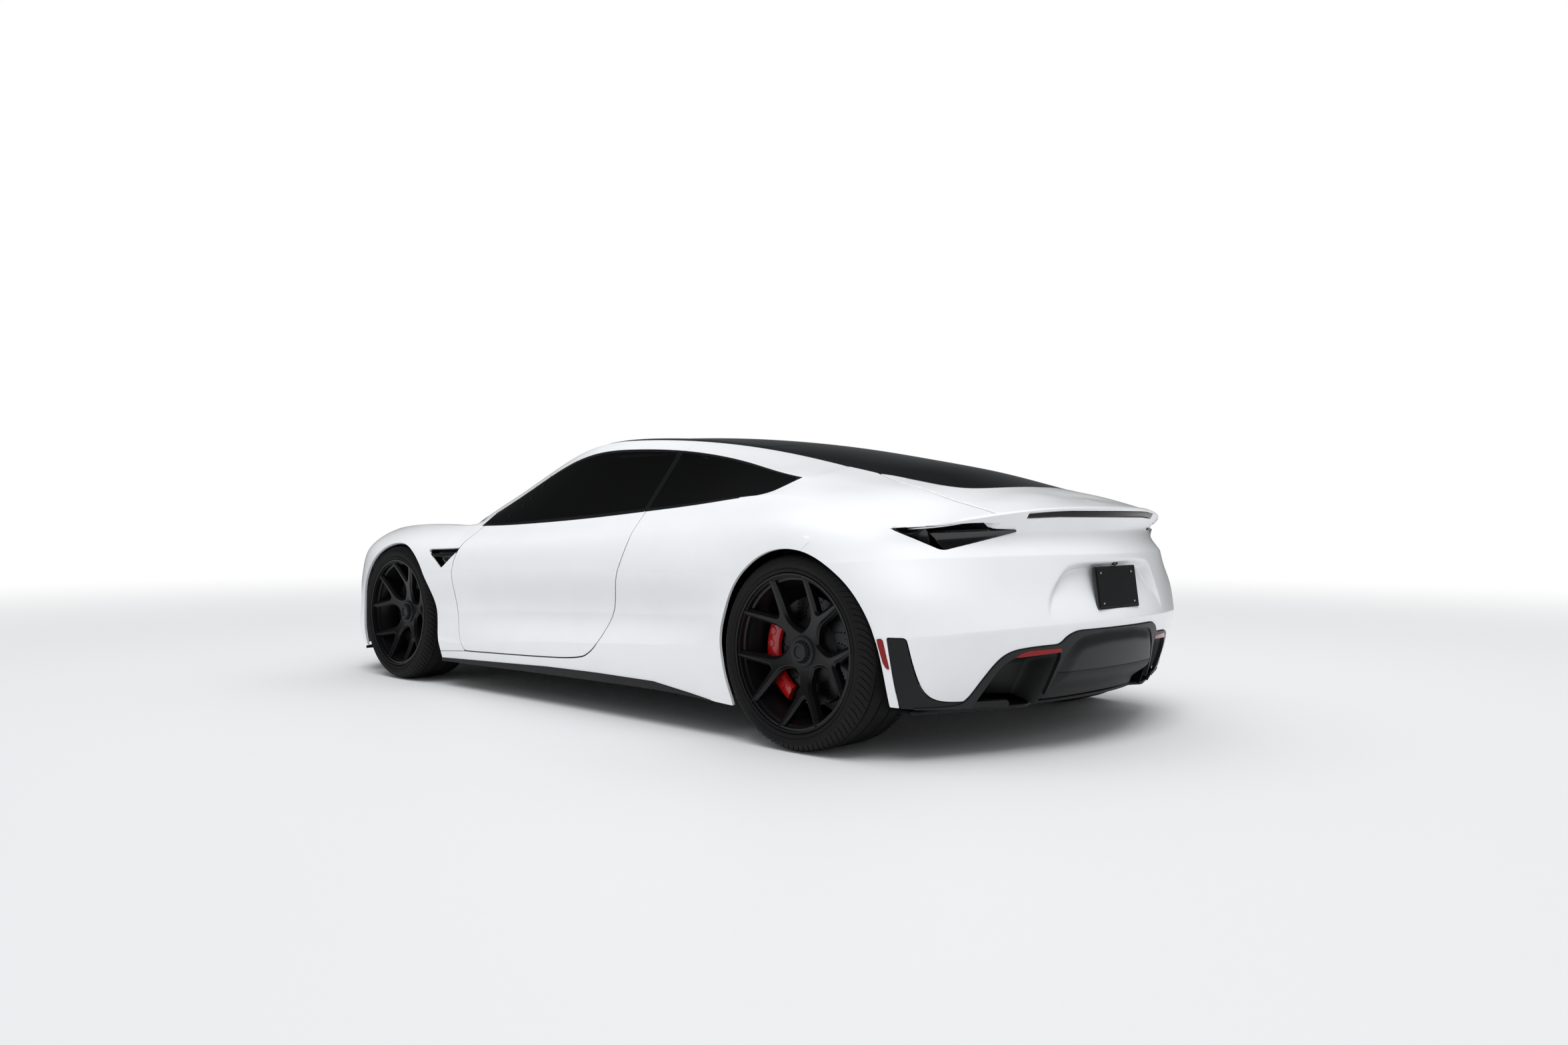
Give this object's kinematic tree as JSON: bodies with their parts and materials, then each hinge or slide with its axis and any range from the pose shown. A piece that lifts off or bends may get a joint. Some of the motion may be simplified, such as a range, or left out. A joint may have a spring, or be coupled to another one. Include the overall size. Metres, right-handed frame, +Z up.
{
  "type": "low electric sports car with a lift-off glass roof panel",
  "caption": "Low two-door electric sports car with a lift-off glass roof panel, hinged doors, hood and tailgate, steered front wheels and four rolling wheels.",
  "frame": {"origin": "on the ground under the middle of the body, halfway along its length", "axes": "+X forward, +Y to the car's left, +Z up"},
  "size_m": [4.42, 1.9954, 1.208],
  "materials": {
    "body_paint": "gloss",
    "black_glass": "gloss",
    "side_glass": "gloss",
    "black_trim": "satin",
    "gloss_black": "gloss",
    "lamp_clear": "gloss",
    "lamp_red": "gloss",
    "rim_black": "satin",
    "tyre": "matte",
    "brake_disc": "machined",
    "caliper_red": "gloss",
    "cast_alloy": "cast",
    "battery_case": "satin",
    "seat_leather": "soft",
    "interior_trim": "matte",
    "chrome": "polished"
  },
  "bodies": {
    "body": {"floor_pan": "interior_trim", "battery_pack": "battery_case", "bulkheads": "interior_trim", "trunk_tubs": "interior_trim", "drive_units": "cast_alloy", "wheel_liners": "black_trim", "front_suspension": "cast_alloy", "rear_suspension": "cast_alloy", "rear_calipers": "caliper_red", "front_fender_left": "body_paint", "front_fender_right": "body_paint", "quarter_panel_left": "body_paint", "quarter_panel_right": "body_paint", "front_bumper": "body_paint", "rear_bumper": "body_paint", "side_skirts": "black_trim", "rear_valance": "black_trim", "front_grille": "black_trim", "front_splitter": "black_trim", "headlamps": "lamp_clear", "tail_lamps": "lamp_red", "windscreen_frame": "body_paint", "windscreen": "black_glass", "roof_panel": "body_paint", "roof_glass": "black_glass", "roof_bridge": "black_glass", "quarter_glass": "side_glass", "front_seats": "seat_leather", "rear_seats": "seat_leather", "dashboard": "interior_trim", "number_plate": "black_trim"},
    "steering_wheel": {"steering_wheel": "seat_leather"},
    "door_left": {"door_left": "body_paint", "door_glass_left": "side_glass"},
    "door_right": {"door_right": "body_paint", "door_glass_right": "side_glass"},
    "hood": {"hood": "body_paint"},
    "tailgate": {"tailgate": "body_paint", "rear_glass": "black_glass"},
    "knuckle_left": {"knuckle_left": "cast_alloy", "front_caliper_left": "caliper_red"},
    "knuckle_right": {"knuckle_right": "cast_alloy", "front_caliper_right": "caliper_red"},
    "wheel_front_left": {"tyre_front_left": "tyre", "rim_front_left": "rim_black"},
    "wheel_front_right": {"tyre_front_right": "tyre", "rim_front_right": "rim_black"},
    "wheel_rear_left": {"tyre_rear_left": "tyre", "rim_rear_left": "rim_black"},
    "wheel_rear_right": {"tyre_rear_right": "tyre", "rim_rear_right": "rim_black"}
  },
  "joints": [
    {"name": "door_left_hinge", "type": "hinge", "parent": "body", "child": "door_left", "pos_m": [0.75, 0.972, 0.5], "axis": [0, 0, -1], "range_deg": [0, 65]},
    {"name": "door_right_hinge", "type": "hinge", "parent": "body", "child": "door_right", "pos_m": [0.75, -0.972, 0.5], "axis": [0, 0, 1], "range_deg": [0, 65]},
    {"name": "hood_hinge", "type": "hinge", "parent": "body", "child": "hood", "pos_m": [1.06, 0, 0.803], "axis": [0, -1, 0], "range_deg": [0, 55]},
    {"name": "tailgate_hinge", "type": "hinge", "parent": "body", "child": "tailgate", "pos_m": [-0.8, 0, 1.15], "axis": [0, 1, 0], "range_deg": [0, 50]},
    {"name": "steer_left", "type": "hinge", "parent": "body", "child": "knuckle_left", "pos_m": [1.34, 0.8, 0.34], "axis": [0, 0, 1], "range_deg": [-30, 30]},
    {"name": "steer_right", "type": "hinge", "parent": "body", "child": "knuckle_right", "pos_m": [1.34, -0.8, 0.34], "axis": [0, 0, 1], "range_deg": [-30, 30]},
    {"name": "steering_wheel_turn", "type": "hinge", "parent": "body", "child": "steering_wheel", "pos_m": [0.395, 0.38, 0.65], "axis": [-0.9272, 0, 0.3746], "range_deg": [-450, 450]},
    {"name": "wheel_front_left_spin", "type": "hinge", "parent": "knuckle_left", "child": "wheel_front_left", "pos_m": [1.34, 0.856, 0.34], "axis": [0, 1, 0], "continuous": true},
    {"name": "wheel_front_right_spin", "type": "hinge", "parent": "knuckle_right", "child": "wheel_front_right", "pos_m": [1.34, -0.856, 0.34], "axis": [0, 1, 0], "continuous": true},
    {"name": "wheel_rear_left_spin", "type": "hinge", "parent": "body", "child": "wheel_rear_left", "pos_m": [-1.46, 0.8275, 0.352], "axis": [0, 1, 0], "continuous": true},
    {"name": "wheel_rear_right_spin", "type": "hinge", "parent": "body", "child": "wheel_rear_right", "pos_m": [-1.46, -0.8275, 0.352], "axis": [0, 1, 0], "continuous": true}
  ],
  "couplings": [
    {"joint": "steer_right", "follows": "steer_left", "ratio": 1},
    {"joint": "steering_wheel_turn", "follows": "steer_left", "ratio": 15}
  ]
}
